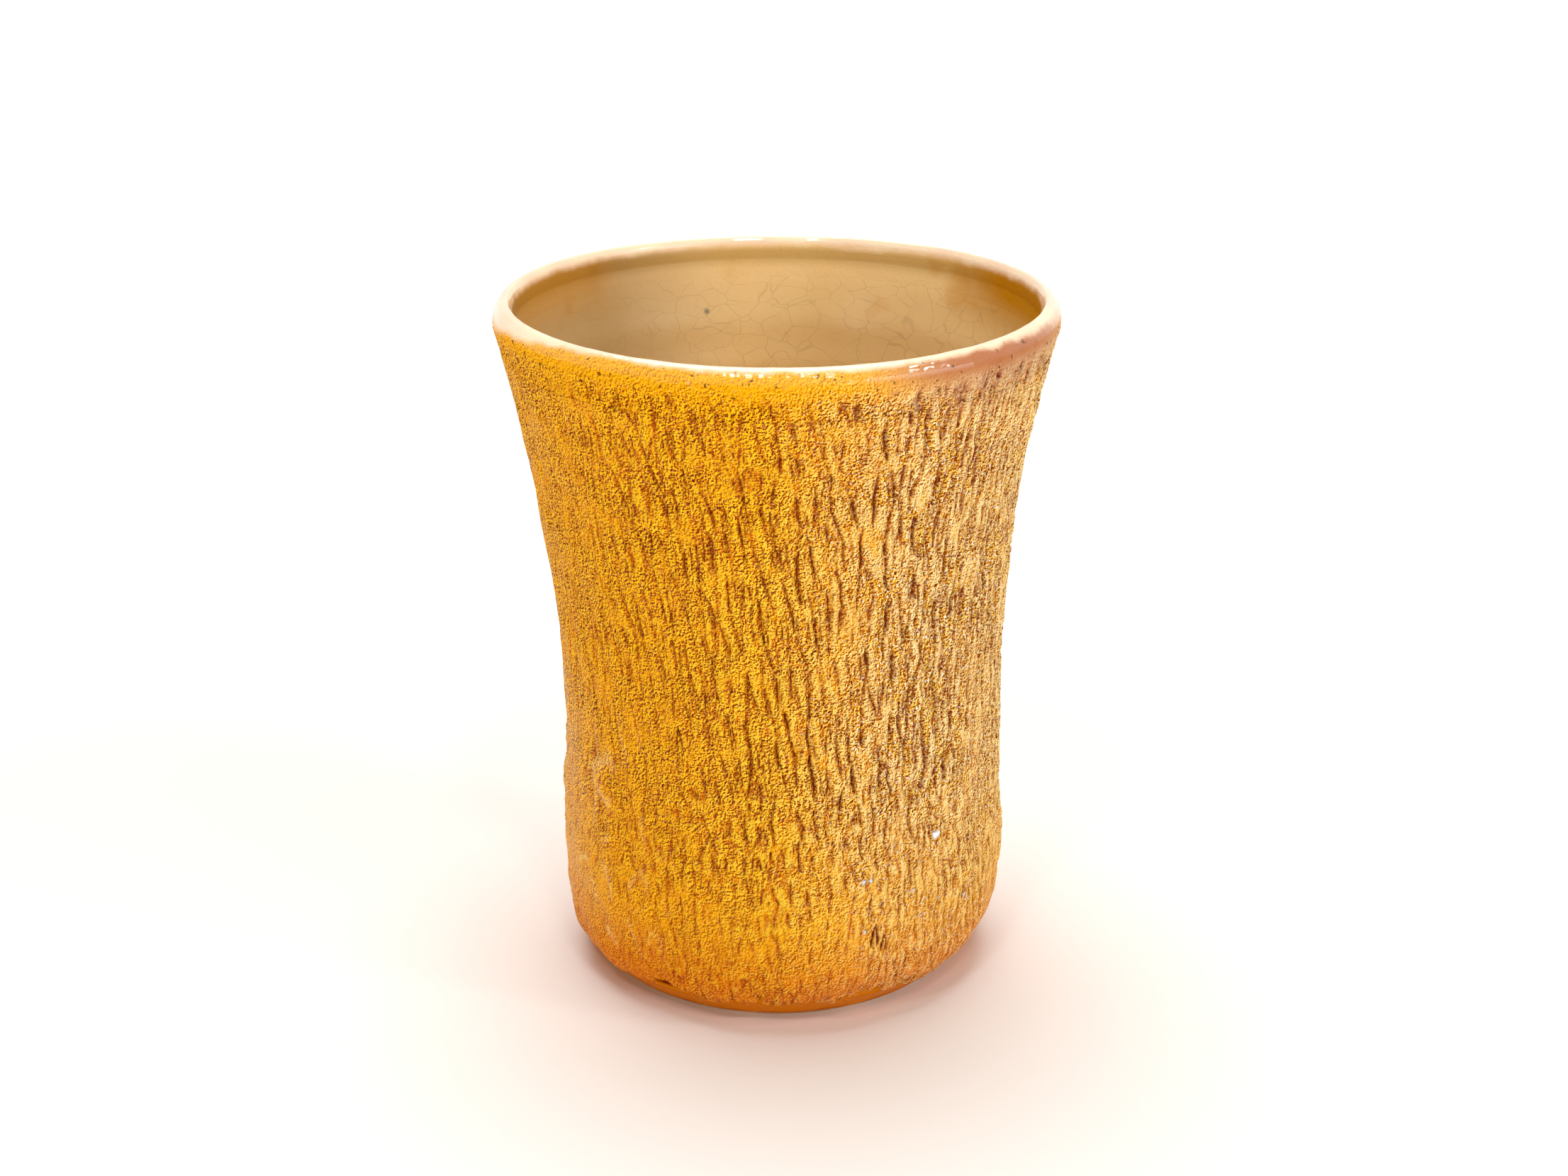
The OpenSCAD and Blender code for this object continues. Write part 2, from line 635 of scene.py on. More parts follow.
@dataclass(frozen=True)
class OchreCoat:
    """The ochre slip under salt glaze on the torn wall and on the smooth band above it.

    Spans in millimetres are heights above the table, apart from band_mm and flash_mm, which are
    depths below the crest of the lip.
    """

    crest_z_mm: float
    gold: Colour = (0.93, 0.38, 0.002)
    amber: Colour = (0.96, 0.43, 0.003)
    peach: Colour = (1.0, 0.58, 0.13)
    heel_orange_and_shade: Colour = (0.71, 0.145, 0.0005)
    band: Colour = (0.94, 0.40, 0.003)
    mauve: Colour = (0.57, 0.32, 0.195)
    sand: Colour = (0.72, 0.30, 0.018)
    brown: Colour = (0.14, 0.018, 0.0004)
    russet_flank_shade: Colour = (0.46, 0.12, 0.001)
    corn: Colour = (1.0, 0.60, 0.01)
    straw: Colour = (1.0, 0.68, 0.045)
    pale: Colour = (1.0, 0.85, 0.44)
    umber: Colour = (0.19, 0.016, 0.0005)
    painted_glint: Colour = (1.0, 0.96, 0.84)
    painted_hollow_shade: Colour = (0.64, 0.24, 0.03)
    bead: Colour = (0.84, 0.88, 0.88)
    painted_sheen: Colour = (1.0, 0.70, 0.46)
    grain_mm: float = 0.3
    flank_mm: float = 0.13
    glint_mm: float = 0.3
    speck_mm: float = 0.45
    lump_mm: float = 0.9
    patch_mm: float = 3.6
    bump_mm: float = 0.4
    foot_mm: Span = (19.0, 4.0)
    heel_mm: Span = (14.0, 36.0)
    dense_mm: Span = (10.0, 42.0)
    fair_mm: Span = (88.0, 60.0)
    top_mm: Span = (86.0, 95.0)
    band_mm: Span = (5.5, 1.5)
    flash_mm: Span = (11.0, 4.0)
    flash_at: float = 56.0
    flash_half: float = 40.0
    gloss: float = 0.08

    def base(self, graph: Graph, place: Value) -> Value:
        """Works out the skin's colour: golden, peach to the right, and darker orange near the foot,
        partly painted shade.

        Args:
            graph: The material's graph.
            place: Place on the piece.

        Returns:
            The colour at each place.
        """
        where = Round.of(graph, place)
        low = where.height_mm.ease(*self.foot_mm) * 0.95
        high = where.height_mm.ease(*self.top_mm) * where.across.ease(0.6, 0.0)
        tone = graph.mix(where.across.ease(-0.45, 0.15), self.gold, self.amber)
        rosy = where.across.ease(0.1, 0.85) * (0.55 + 0.45 * where.height_mm.ease(*self.heel_mm))
        tone = graph.mix(rosy, tone, self.peach)
        # Partly painted shade: darker orange towards the foot
        tone = graph.mix(low, tone, self.heel_orange_and_shade)
        return graph.mix(high, tone, self.band)

    def grain_with_painted_flanks(self, graph: Graph, place: Value) -> Value:
        """Paints light and shade on the flanks of the fine grains, as if lit from the upper left.

        Args:
            graph: The material's graph.
            place: Place on the piece.

        Returns:
            About 0.5, more on the upper left flank of a grain and less on the lower right, for
            painted light and shade.
        """
        where = Round.of(graph, place)
        parts = {0: where.facing, 1: where.across, 2: -1.0}
        aside = graph.out("ShaderNodeCombineXYZ", 0, None, parts)
        inputs = {0: aside, 1: (self.flank_mm * MM,) * 3, 2: place}
        beside = graph.out("ShaderNodeVectorMath", 0, {"operation": "MULTIPLY_ADD"}, inputs)
        here = graph.noise(place, self.grain_mm, seed=1.0)
        there = graph.noise(beside, self.grain_mm, seed=1.0)
        return 0.35 + (there - here) * 1.2 + here * 0.3

    def freckled(self, graph: Graph, place: Value, colour: Value, top: Value, share: Term) -> Value:
        """Covers a colour with grains, with painted light and shade on their flanks, and a few dark
        specks.

        Args:
            graph: The material's graph.
            place: Place on the piece.
            colour: Colour of the skin.
            top: Colour of the grains' painted lit flanks.
            share: How much of the grains shows, from 0 to 1.

        Returns:
            The covered colour.
        """
        grain_with_painted_flanks = self.grain_with_painted_flanks(graph, place)
        # Painted shade on the grains' lower right flanks in russet and brown, painted light on their
        # upper left flanks in the top colour
        colour = graph.mix(grain_with_painted_flanks.ease(0.52, 0.42) * share, colour, self.russet_flank_shade)
        colour = graph.mix(grain_with_painted_flanks.ease(0.41, 0.36) * share, colour, self.brown)
        colour = graph.mix(grain_with_painted_flanks.ease(0.53, 0.61) * share, colour, top)
        speck = graph.noise(place, self.speck_mm, detail=1.0, seed=3.0).ease(0.66, 0.7)
        return graph.mix(speck * share, colour, self.umber)

    def torn(self, graph: Graph, place: Value, smooth_band: Term) -> Value:
        """Works out the colour of the torn skin.

        Args:
            graph: The material's graph.
            place: Place on the piece.
            smooth_band: Share of the smooth band under the lip, which has few grains.

        Returns:
            The colour at each place.
        """
        where = Round.of(graph, place)
        groove, raw_body_and_shade, proud = (graph.painted(layer) for layer in ("groove", "raw_body_and_shade", "proud"))
        right = where.across.ease(-0.1, 0.6)
        flash = self.flash(where) * self.below(graph, place).ease(*self.flash_mm)
        sandy = raw_body_and_shade * right * (1 - flash * 0.8)
        # Painted shade: sunk places and the raw body beside the crevices are darkened with the
        # hollow colour
        sunk = graph.math("MAXIMUM", raw_body_and_shade * (0.85 - 0.5 * right), proud.ease(-0.1, -1.0) * 0.8)
        colour = graph.mix(sunk, self.base(graph, place), self.painted_hollow_shade, Blend.MULTIPLY)
        colour = graph.mix(sandy * 0.7, colour, self.sand)
        light = right * (1 - 0.8 * raw_body_and_shade) * (0.6 + 0.4 * where.height_mm.ease(*self.heel_mm))
        fair = where.across.ease(-0.6, 0.1) * where.height_mm.ease(*self.fair_mm)
        top = graph.mix(light, graph.mix(fair, self.corn, self.straw), self.pale)
        # Painted light: raised edges take the colour of the grains' lit flanks
        colour = graph.mix(proud.ease(0.15, 1.0) * 0.5, colour, top)
        colour = graph.mix(flash * 0.85, colour, self.mauve)
        patchy = graph.noise(place, self.patch_mm, seed=7.0).ease(0.34, 0.62)
        share = (0.85 - 0.25 * right) * (0.62 + 0.65 * patchy) + 0.2 * raw_body_and_shade + 0.5 * sandy
        dense = 0.52 + 0.48 * where.height_mm.ease(*self.dense_mm)
        share = share * dense * (1 - smooth_band * 0.65)
        colour = self.freckled(graph, place, colour, top, share * (1 - flash * 0.5))
        # Painted glints: sparse small white highlights, mostly on the sandy patches
        glint = graph.noise(place, self.glint_mm, detail=1.0, seed=5.0).ease(0.61, 0.64)
        colour = graph.mix(glint * (0.04 + 0.96 * sandy), colour, self.painted_glint)
        # Crevice lines: pooled glaze, in part painted shade
        return graph.mix(groove, colour, self.umber)

    def flash(self, where: Round) -> Value:
        """Gives the side of the cup that the flame flashed, from 0 to 1."""
        return where.toward(self.flash_at, self.flash_half)

    def below(self, graph: Graph, place: Value) -> Value:
        """Measures down from the crest of the lip, which dips to the front.

        Args:
            graph: The material's graph.
            place: Place on the piece.

        Returns:
            The depth in millimetres.
        """
        where = Round.of(graph, place)
        dip = Throw.LIP_DIP_MM * graph.math("POWER", 0.5 + where.facing * 0.5, 2.0)
        return self.crest_z_mm - dip - where.height_mm

    def smooth_band(self, graph: Graph, place: Value) -> Value:
        """Gives the share of the smooth band under the lip."""
        return self.below(graph, place).ease(*self.band_mm)

    def grainy(self, graph: Graph, place: Value, smooth_band: Term) -> Value:
        """Gives the normal of the grainy skin.

        Args:
            graph: The material's graph.
            place: Place on the piece.
            smooth_band: Share of the smooth band under the lip.

        Returns:
            The normal at each place.
        """
        relief = graph.noise(place, self.grain_mm, seed=1.0)
        relief = relief + graph.noise(place, self.lump_mm, detail=1.0, seed=2.0)
        return graph.bump(relief * (1 - smooth_band * 0.85), self.bump_mm)

    def finish(self) -> bpy.types.Material:
        """Makes the material of the torn wall.

        Returns:
            The material.
        """
        graph = Graph.material("ochre_coat")
        place = graph.place()
        smooth_band = self.smooth_band(graph, place)
        drop, sheen = graph.painted("drop"), graph.painted("sheen")
        # Painted sheen: pale pink laid over the wrinkles' crests and the far left edge
        colour = graph.mix(sheen * 0.2, self.torn(graph, place, smooth_band), self.painted_sheen)
        return graph.glaze(
            {
                # The drops' pale bluish white stands for the shine on their clear glass: painted
                # reflection
                "Base Color": graph.mix(drop, colour, self.bead),
                "Roughness": 0.42 + 0.1 * graph.noise(place, 3.0),
                "Coat Weight": self.gloss + 0.4 * sheen + drop,
                "Normal": self.grainy(graph, place, graph.math("MAXIMUM", smooth_band, drop)),
                "Coat Roughness": 0.16,
            }
        )


@dataclass(frozen=True)
class LinerGlaze:
    """The pale crackled glaze inside, with amber where it pooled under the lip.

    Spans in millimetres are depths below the lip, apart from shade_r_mm, a radius, and
    spot_r_mm, the way from the middle of the iron spot.
    """

    lip_z_mm: float
    beige: Colour = (1.0, 0.71, 0.33)
    khaki: Colour = (0.95, 0.66, 0.285)
    amber: Colour = (0.54, 0.215, 0.002)
    olive: Colour = (0.69, 0.66, 0.53)
    honey: Colour = (0.84, 0.46, 0.12)
    shade: Colour = (0.5, 0.46, 0.42)
    crack: Colour = (0.42, 0.25, 0.09)
    spot: Colour = (0.06, 0.08, 0.08)
    spot_mm: Spot = (-11.0, 33.2, 90.1)
    spot_r_mm: Span = (0.7, 0.15)
    shade_r_mm: Span = (1.0, 28.0)
    rim_start_mm: Span = (1.0, 2.2)
    rim_end_mm: Span = (5.0, 2.8)
    thin_pool_mm: Span = (11.0, 2.5)
    thin_pool_at: float = -112.0
    thin_pool_half: float = 30.0
    deep_pool_mm: Span = (13.0, 3.0)
    deep_pool_at: float = 98.0
    deep_pool_half: float = 46.0
    gloss_mm: Span = (6.0, 14.0)
    gloss: float = 0.2
    cloud_mm: float = 18.0
    patch_mm: float = 10.0
    fade_mm: float = 9.0
    warp_mm: float = 8.0
    warp_reach_mm: float = 5.0
    squat: float = 1.7
    crackle_mm: float = 4.4
    hairline: Span = (0.03, 0.0)

    def base(self, graph: Graph, place: Value) -> Value:
        """Works out the glaze's colour without its crackle.

        Args:
            graph: The material's graph.
            place: Place on the piece.

        Returns:
            The colour at each place.
        """
        where = Round.of(graph, place)
        below = self.lip_z_mm - where.height_mm
        cloud = graph.noise(place, self.cloud_mm, detail=3.0, seed=4.0)
        colour = graph.mix(cloud.ease(0.4, 0.68), self.beige, self.khaki)
        patch = graph.noise(place, self.patch_mm, seed=5.0).ease(0.6, 0.72)
        colour = graph.mix(patch * 0.5, colour, self.honey)
        dim = where.across.ease(-0.1, -0.8) * where.radius_mm.ease(*self.shade_r_mm)
        colour = graph.mix(dim, colour, self.shade, Blend.MULTIPLY)
        rim = below.ease(*self.rim_start_mm) * below.ease(*self.rim_end_mm)
        colour = graph.mix(rim, colour, self.olive, Blend.MULTIPLY)
        thin = 0.2 + 0.4 * where.toward(self.thin_pool_at, self.thin_pool_half)
        deep = where.toward(self.deep_pool_at, self.deep_pool_half) * 1.1
        thin, deep = below.ease(*self.thin_pool_mm) * thin, below.ease(*self.deep_pool_mm) * deep
        return graph.mix(graph.math("MAXIMUM", thin, deep), colour, self.amber)

    def spotted(self, graph: Graph, place: Value, lines: Value) -> Value:
        """Draws the crackle and one dark spot of iron over the glaze.

        Args:
            graph: The material's graph.
            place: Place on the piece.
            lines: Strength of the crackle.

        Returns:
            The colour at each place.
        """
        colour = graph.mix(lines, self.base(graph, place), self.crack)
        near = graph.away_mm(place, self.spot_mm).ease(*self.spot_r_mm)
        return graph.mix(near * 0.65, colour, self.spot)

    def finish(self) -> bpy.types.Material:
        """Makes the material of the liner.

        Returns:
            The material.
        """
        graph = Graph.material("liner_glaze")
        place = graph.place()
        z = graph.split(place)[2]
        twisted = graph.warped(place, self.warp_mm, self.warp_reach_mm)
        twisted = graph.stretched(twisted, (1.0, 1.0, self.squat))
        fade = graph.noise(place, self.fade_mm, seed=6.0).ease(0.25, 0.6)
        net = graph.cracks(twisted, self.crackle_mm).ease(*self.hairline)
        fine = graph.cracks(twisted, self.crackle_mm * 0.5).ease(*self.hairline) * fade
        lines = net * (0.14 + 0.12 * fade) + fine * 0.12
        relief = graph.noise(place, 5.0, seed=8.0) - lines * 0.5
        return graph.glaze(
            {
                "Base Color": self.spotted(graph, place, lines),
                "Roughness": 0.34 + 0.1 * graph.noise(place, 6.0),
                "Normal": graph.bump(relief, depth_mm=0.3, strength=0.4),
                "Coat Weight": 0.1 + self.gloss * (self.lip_z_mm - z / MM).ease(*self.gloss_mm),
                "Coat Roughness": 0.24,
            }
        )


@dataclass(frozen=True)
class LipGlaze:
    """The smooth glaze on the lip: golden outside, cream on the crest, flashed rose on one side."""

    coat: OchreCoat
    liner: LinerGlaze
    crest_r_mm: float
    cream: Colour = (0.98, 0.76, 0.50)
    pink: Colour = (0.96, 0.66, 0.44)
    blush: Colour = (0.76, 0.44, 0.27)
    rose: Colour = (0.42, 0.125, 0.036)
    dot: Colour = (0.10, 0.03, 0.004)
    rose_at: float = 48.0
    rose_half: float = 36.0
    blush_at: float = 58.0
    blush_half: float = 40.0
    cream_mm: float = 3.0
    wander_mm: float = 1.4
    dot_mm: float = 0.8

    def finish(self) -> bpy.types.Material:
        """Makes the material of the lip.

        Returns:
            The material.
        """
        graph = Graph.material("lip_glaze")
        place = graph.place()
        where = Round.of(graph, place)
        below = self.coat.below(graph, place)
        edge = below + (graph.noise(place, 4.0) - 0.5) * self.wander_mm
        outside = where.radius_mm.ease(self.crest_r_mm - 0.1, self.crest_r_mm + 0.7)
        inside = where.radius_mm.ease(self.crest_r_mm - 0.1, self.crest_r_mm - 0.7)
        side = graph.math("POWER", graph.math("MINIMUM", 1 - where.facing, 1.0), 2.2)
        reach = side * (self.cream_mm - 2.4 * self.coat.flash(where))
        band = ((edge - reach) / (1 + side * 3.0)).ease(0.05, 0.75) * outside
        smooth_band = graph.math("MAXIMUM", self.coat.smooth_band(graph, place), inside)
        gold = self.coat.torn(graph, place, smooth_band)
        rosy = where.toward(self.rose_at, self.rose_half) * edge.ease(4.5, 1.5)
        gold = graph.mix(rosy * 0.9, gold, self.rose)
        crest = graph.mix(graph.noise(place, 9.0, detail=1.0).ease(0.3, 0.7), self.cream, self.pink)
        flushed = where.toward(self.blush_at, self.blush_half) * edge.ease(0.4, 1.6)
        crest = graph.mix(flushed, crest, self.blush)
        colour = graph.mix(band, crest, gold)
        colour = graph.mix(edge.ease(0.6, 1.9) * inside, colour, self.liner.base(graph, place))
        gloss = below.ease(2.3, 1.5) * (1 - inside * below.ease(0.7, 1.2))
        dots = graph.noise(place, self.dot_mm, detail=1.0, seed=9.0).ease(0.66, 0.72)
        return graph.glaze(
            {
                "Base Color": graph.mix(dots * band * 0.85, colour, self.dot),
                "Roughness": 0.42 + 0.1 * graph.noise(place, 3.0),
                "Coat Weight": graph.math("MAXIMUM", gloss, inside * 0.1),
                "Normal": self.coat.grainy(graph, place, smooth_band),
                "Coat Roughness": 0.1,
            }
        )


@dataclass(frozen=True)
class FootGlaze:
    """The smooth amber glaze on the bevel above the foot."""

    amber: Colour = (0.56, 0.15, 0.0005)
    brown: Colour = (0.34, 0.05, 0.0005)
    edge_mm: Span = (1.9, 1.2)
    speck_mm: float = 0.6

    def finish(self) -> bpy.types.Material:
        """Makes the material of the foot's band.

        Returns:
            The material.
        """
        graph = Graph.material("foot_glaze")
        place = graph.place()
        height = Round.of(graph, place).height_mm
        edge = (height + graph.noise(place, 4.0) * 0.8).ease(*self.edge_mm)
        colour = graph.mix(edge, self.amber, self.brown)
        specks = graph.noise(place, self.speck_mm, detail=1.0).ease(0.62, 0.74)
        return graph.glaze(
            {
                "Base Color": graph.mix(specks * 0.5, colour, self.brown),
                "Roughness": 0.2 + 0.15 * graph.noise(place, 3.0),
                "Normal": graph.bump(graph.noise(place, 1.4), depth_mm=0.1, strength=0.5),
            }
        )


@dataclass(frozen=True)
class BareClay:
    """The unglazed stoneware of the foot, toasted brown, with turning lines."""

    toast: Colour = (0.40, 0.17, 0.06)
    pale: Colour = (0.56, 0.34, 0.18)
    grit: Colour = (0.10, 0.05, 0.025)
    cloud_mm: float = 8.0
    grit_mm: float = 0.5
    line_turn: float = 7.0

    def finish(self) -> bpy.types.Material:
        """Makes the material of the bare clay.

        Returns:
            The material.
        """
        graph = Graph.material("bare_clay")
        place = graph.place()
        cloud = graph.noise(place, self.cloud_mm, detail=3.0)
        colour = graph.mix(cloud.ease(0.35, 0.7), self.toast, self.pale)
        grit = graph.noise(place, self.grit_mm, detail=1.0).ease(0.64, 0.74)
        radius = Round.of(graph, place).radius_mm
        rings = graph.math("SINE", radius * self.line_turn + cloud * 3.0)
        relief = rings * 0.35 + graph.noise(place, 0.4)
        return graph.surface(
            {
                "Base Color": graph.mix(grit * 0.7, colour, self.grit),
                "Roughness": 0.75 + 0.15 * cloud,
                "Normal": graph.bump(relief, depth_mm=0.12, strength=0.7),
            }
        )


@dataclass
class CupPiece:
    """A piece of the cup that stands for one CAD node."""

    node: str
    slot: str
    columns: int = 360

    def seat(self, piece: bpy.types.Object, material: bpy.types.Material) -> bpy.types.Object:
        """Dresses a piece, fixes it to the cup and lets it stand for its node.

        Args:
            piece: The finished mesh.
            material: Its material.

        Returns:
            The same piece.
        """
        piece.data.materials.append(material)
        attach(piece, "root")
        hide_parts(self.node)
        LOG.info("%s: %d faces", piece.name, len(piece.data.polygons))
        return piece


@dataclass(frozen=True)
class Tear:
    """A tongue of skin torn half loose: where it hangs and how large it is."""

    degrees: float
    height_mm: float
    width_mm: float
    length_mm: float
    depth_mm: float


@dataclass(frozen=True)
class Drop:
    """A drop of clear glass that ran onto the wall: where it sits and how large it is."""

    degrees: float
    height_mm: float
    width_mm: float
    tall_mm: float
    proud_mm: float


@dataclass(frozen=True)
class Flow:
    """Places along the lean of the tears, the tearing force, and the true height."""

    arc: np.ndarray
    height: np.ndarray
    force: np.ndarray
    up: np.ndarray


@dataclass(frozen=True)
class Skin:
    """What tearing leaves: relief in millimetres, crevices, raw body with painted shade beside the
    crevices, proud edges and gloss.
    """

    relief: np.ndarray
    groove: np.ndarray
    raw_body_and_shade: np.ndarray
    proud: np.ndarray | float = 0.0
    drop: np.ndarray | float = 0.0
    sheen: np.ndarray | float = 0.0


@dataclass(frozen=True)
class Cells:
    """The flakes at each place: way to the crevice and from the middle, level, and upright share."""

    edge: np.ndarray
    side: np.ndarray
    level: np.ndarray
    upright: np.ndarray


@dataclass(frozen=True)
class Flakes:
    """A layer of upright, pointed flakes of skin, which round down into crevices between them."""

    seed: int
    across_mm: float
    up_mm: float
    depth_mm: float
    round_mm: float
    jitter: float = 0.36

    def split(self, flow: Flow, girth: float) -> Cells:
        """Splits the wall into flakes.

        Args:
            flow: The sheet of places that the flakes follow.
            girth: Length of the whole way round in millimetres.

        Returns:
            The flake at each place, in millimetres.
        """
        columns = round(girth / self.across_mm)
        across, up = (flow.arc / girth + 0.5) * columns, flow.height / self.up_mm
        rows = int(up.max()) + 6
        rng = np.random.default_rng(self.seed)
        shift = rng.uniform(-self.jitter, self.jitter, (2, rows, columns))
        height = rng.uniform(-1.0, 1.0, (rows, columns))
        column, row = np.floor(across).astype(int), np.floor(up).astype(int)
        far = np.full(across.shape, 9.0)
        near = [far * far, far, far, far * 0]
        after = [far * far, far, far]
        for above in range(-2, 3):
            for right in range(-2, 3):
                spot = row + above + 2, (column + right) % columns
                x = column + right + 0.5 * ((row + above) % 2) + 0.5 + shift[0][spot] - across
                y = row + above + 0.5 + shift[1][spot] - up
                reach = x * x + y * y
                first, second = reach < near[0], reach < after[0]
                mine = [reach, x, y]
                passed = [np.where(second, new, old) for new, old in zip(mine, after)]
                after = [np.where(first, old, new) for old, new in zip(near, passed)]
                near = [np.where(first, new, old) for new, old in zip([*mine, height[spot]], near)]
        gap_x, gap_y = after[1] - near[1], after[2] - near[2]
        steep = np.hypot(gap_x / self.across_mm, gap_y / self.up_mm)
        upright = smooth(0.93, 0.995, np.abs(gap_x) / self.across_mm / steep)
        edge = (after[0] - near[0]) / 2 / steep
        return Cells(edge, -near[1] * self.across_mm, near[3], upright)


@dataclass(frozen=True)
class Bark:
    """The skin of the outer wall, which tore into upright flakes as the pot was stretched."""

    mean_radius_mm: float = 34.0
    large: Flakes = Flakes(seed=11, across_mm=2.1, up_mm=9.0, depth_mm=0.66, round_mm=0.38)
    small: Flakes = Flakes(seed=12, across_mm=1.05, up_mm=5.5, depth_mm=0.3, round_mm=0.28)
    ribs: Flakes = Flakes(seed=13, across_mm=1.4, up_mm=13.0, depth_mm=0.34, round_mm=0.22)
    lip_z_mm: float = 98.2
    deepest_mm: float = 1.0
    proudest_mm: float = 0.6
    tears: tuple[Tear, ...] = (
        Tear(23.7, 14.9, 1.5, 3.6, 0.4),
        Tear(26.4, 13.5, 1.2, 2.6, 0.4),
        Tear(-26.1, 44.8, 1.2, 3.2, 0.4),
    )
    drops: tuple[Drop, ...] = (
        Drop(42.3, 27.7, 1.5, 1.2, 0.35),
        Drop(20.3, 23.6, 0.8, 0.6, 0.2),
        Drop(22.0, 23.7, 0.6, 0.7, 0.2),
        Drop(34.2, 20.6, 0.7, 0.5, 0.15),
        Drop(42.4, 17.9, 0.5, 0.5, 0.15),
        Drop(24.8, 19.6, 0.5, 0.4, 0.15),
        Drop(20.8, 15.9, 0.6, 0.6, 0.15),
        Drop(37.1, 15.9, 0.5, 0.5, 0.15),
        Drop(52.9, 16.2, 0.6, 0.6, 0.15),
    )

    @property
    def girth_mm(self) -> float:
        """Length of the way round the wall at its mean radius."""
        return math.tau * self.mean_radius_mm

    def rightward(self, arc: np.ndarray) -> np.ndarray:
        """Gives 1 on the right-hand side of the cup, -1 on its left and 0 in front and behind."""
        return np.sin(arc / self.mean_radius_mm)

    def hills(self, seed: int, across_mm: float, up_mm: float, flow: Flow) -> np.ndarray:
        """Gives soft hills that follow the flow of the tears."""
        return CellNoise(seed, across_mm, up_mm).at(flow.arc, flow.height, self.girth_mm)

    @staticmethod
    def slant(angle: np.ndarray) -> np.ndarray:
        """Gives how far the tears lean.

        Args:
            angle: Angle round the cup of each place, in radians.

        Returns:
            The lean as a tangent, which is positive where a tear goes to +X on its way up.
        """
        left = smooth(0.45, 1.0, np.cos(angle + math.radians(25.0)))
        far_left = smooth(0.6, 1.0, np.cos(angle + math.radians(95.0)))
        return -0.1 * left + 0.16 * far_left

    def strength(self, across: np.ndarray, up: np.ndarray) -> np.ndarray:
        """Gives how strongly the skin tore: less on the left, near the foot and under the lip.

        Args:
            across: Way round the wall of each place, in millimetres.
            up: Height of each place, in millimetres.

        Returns:
            The force, from 0 to 1.
        """
        rightward = self.rightward(across)
        right = smooth(-0.9, 0.1, rightward)
        far = 1.0 - 0.1 * smooth(0.5, 0.9, rightward)
        foot = 1.0 - 0.6 * smooth(40.0, 10.0, up)
        start = self.lip_z_mm + 0.8 * smooth(0.3, 0.8, rightward)
        lip = 1.0 - smooth(-3.5, 0.0, up - start)
        return (0.4 + 0.6 * right) * far * foot * lip

    def flow(self, across: np.ndarray, up: np.ndarray) -> Flow:
        """Lays the sheet of places that the tears follow.

        Args:
            across: Way round the wall of each place, in millimetres.
            up: Height of each place, in millimetres.

        Returns:
            The place of each ring and column along the flow.
        """
        girth = self.girth_mm
        straight = across - self.slant(across / self.mean_radius_mm) * (up - 50.0)
        warp = 0.4 * CellNoise(61, 5.0, 9.0).at(across, up, girth)
        warp += 0.16 * CellNoise(62, 1.9, 3.2).at(across, up, girth)
        warp += 0.1 * CellNoise(64, 0.9, 1.2).at(across, up, girth)
        force = self.strength(across, up)
        clump = CellNoise(63, 13.0, 17.0).at(across, up, girth)
        packed = up + 40.0 - 0.9 * np.maximum(0.0, 38.0 - up)
        return Flow(straight + warp, packed, np.clip(force * (1 + 0.6 * clump), 0.0, 1.4), up)

    def flaked(self, flow: Flow, layer: Flakes, gape: np.ndarray) -> Skin:
        """Tears one layer of flakes.

        Args:
            flow: The sheet of places that the tears follow.
            layer: The flakes.
            gape: How far the crevices stand open, from 0 to 1.

        Returns:
            What the flakes leave.
        """
        cells = layer.split(flow, self.girth_mm)
        gape = gape * (0.25 + 0.75 * cells.upright)
        shaded = smooth(-0.2, 0.3, cells.side)
        line = 0.1 + 0.1 * smooth(0.0, 0.5, self.hills(73, 2.0, 3.0, flow))
        sunk = np.exp(-cells.edge / layer.round_mm)
        relief = gape * layer.depth_mm * (0.2 * cells.level - 0.3 * cells.side - sunk)
        # Crevice lines are pooled glaze, made darker on the flake's shaded side as painted shade;
        # the raw body beside them is weighted the same way
        open_line = 1.3 * gape**0.7 * cells.upright * np.exp(-((cells.edge / line) ** 2))
        dark = open_line * (0.45 + 0.55 * shaded)
        raw_body_and_shade = gape * sunk * (0.15 + 0.85 * shaded)
        return Skin(relief, dark, raw_body_and_shade)

    def ribbed(self, flow: Flow) -> Skin:
        """Tears the narrow, straight ribs of the right-hand side.

        Args:
            flow: The sheet of places that the tears follow.

        Returns:
            What this leaves.
        """
        right = smooth(0.25, 0.75, self.rightward(flow.arc)) * np.clip(flow.force, 0, 1)
        gape = right * smooth(-0.35, 0.25, self.hills(79, 2.2, 8.0, flow))
        return self.flaked(flow, self.ribs, gape)

    def sandy(self, flow: Flow) -> Skin:
        """Roughens the skin and bares patches of sandy body.

        Args:
            flow: The sheet of places that the tears follow.

        Returns:
            What this leaves.
        """
        hills = self.hills(71, 1.7, 8.5, flow) + 0.6 * self.hills(72, 0.9, 3.4, flow)
        hills += 0.4 * self.hills(78, 0.7, 1.1, flow)
        right = smooth(0.15, 0.6, self.rightward(flow.arc))
        bare = smooth(-0.1, -0.4, hills - 0.25 * right) * np.clip(flow.force, 0, 1)
        fine = 0.05 * self.hills(76, 0.9, 3.6, flow)
        fine += (0.02 + 0.07 * bare) * self.hills(77, 0.5, 0.6, flow)
        return Skin(fine - (0.15 + 0.12 * right) * bare, bare * 0, bare)

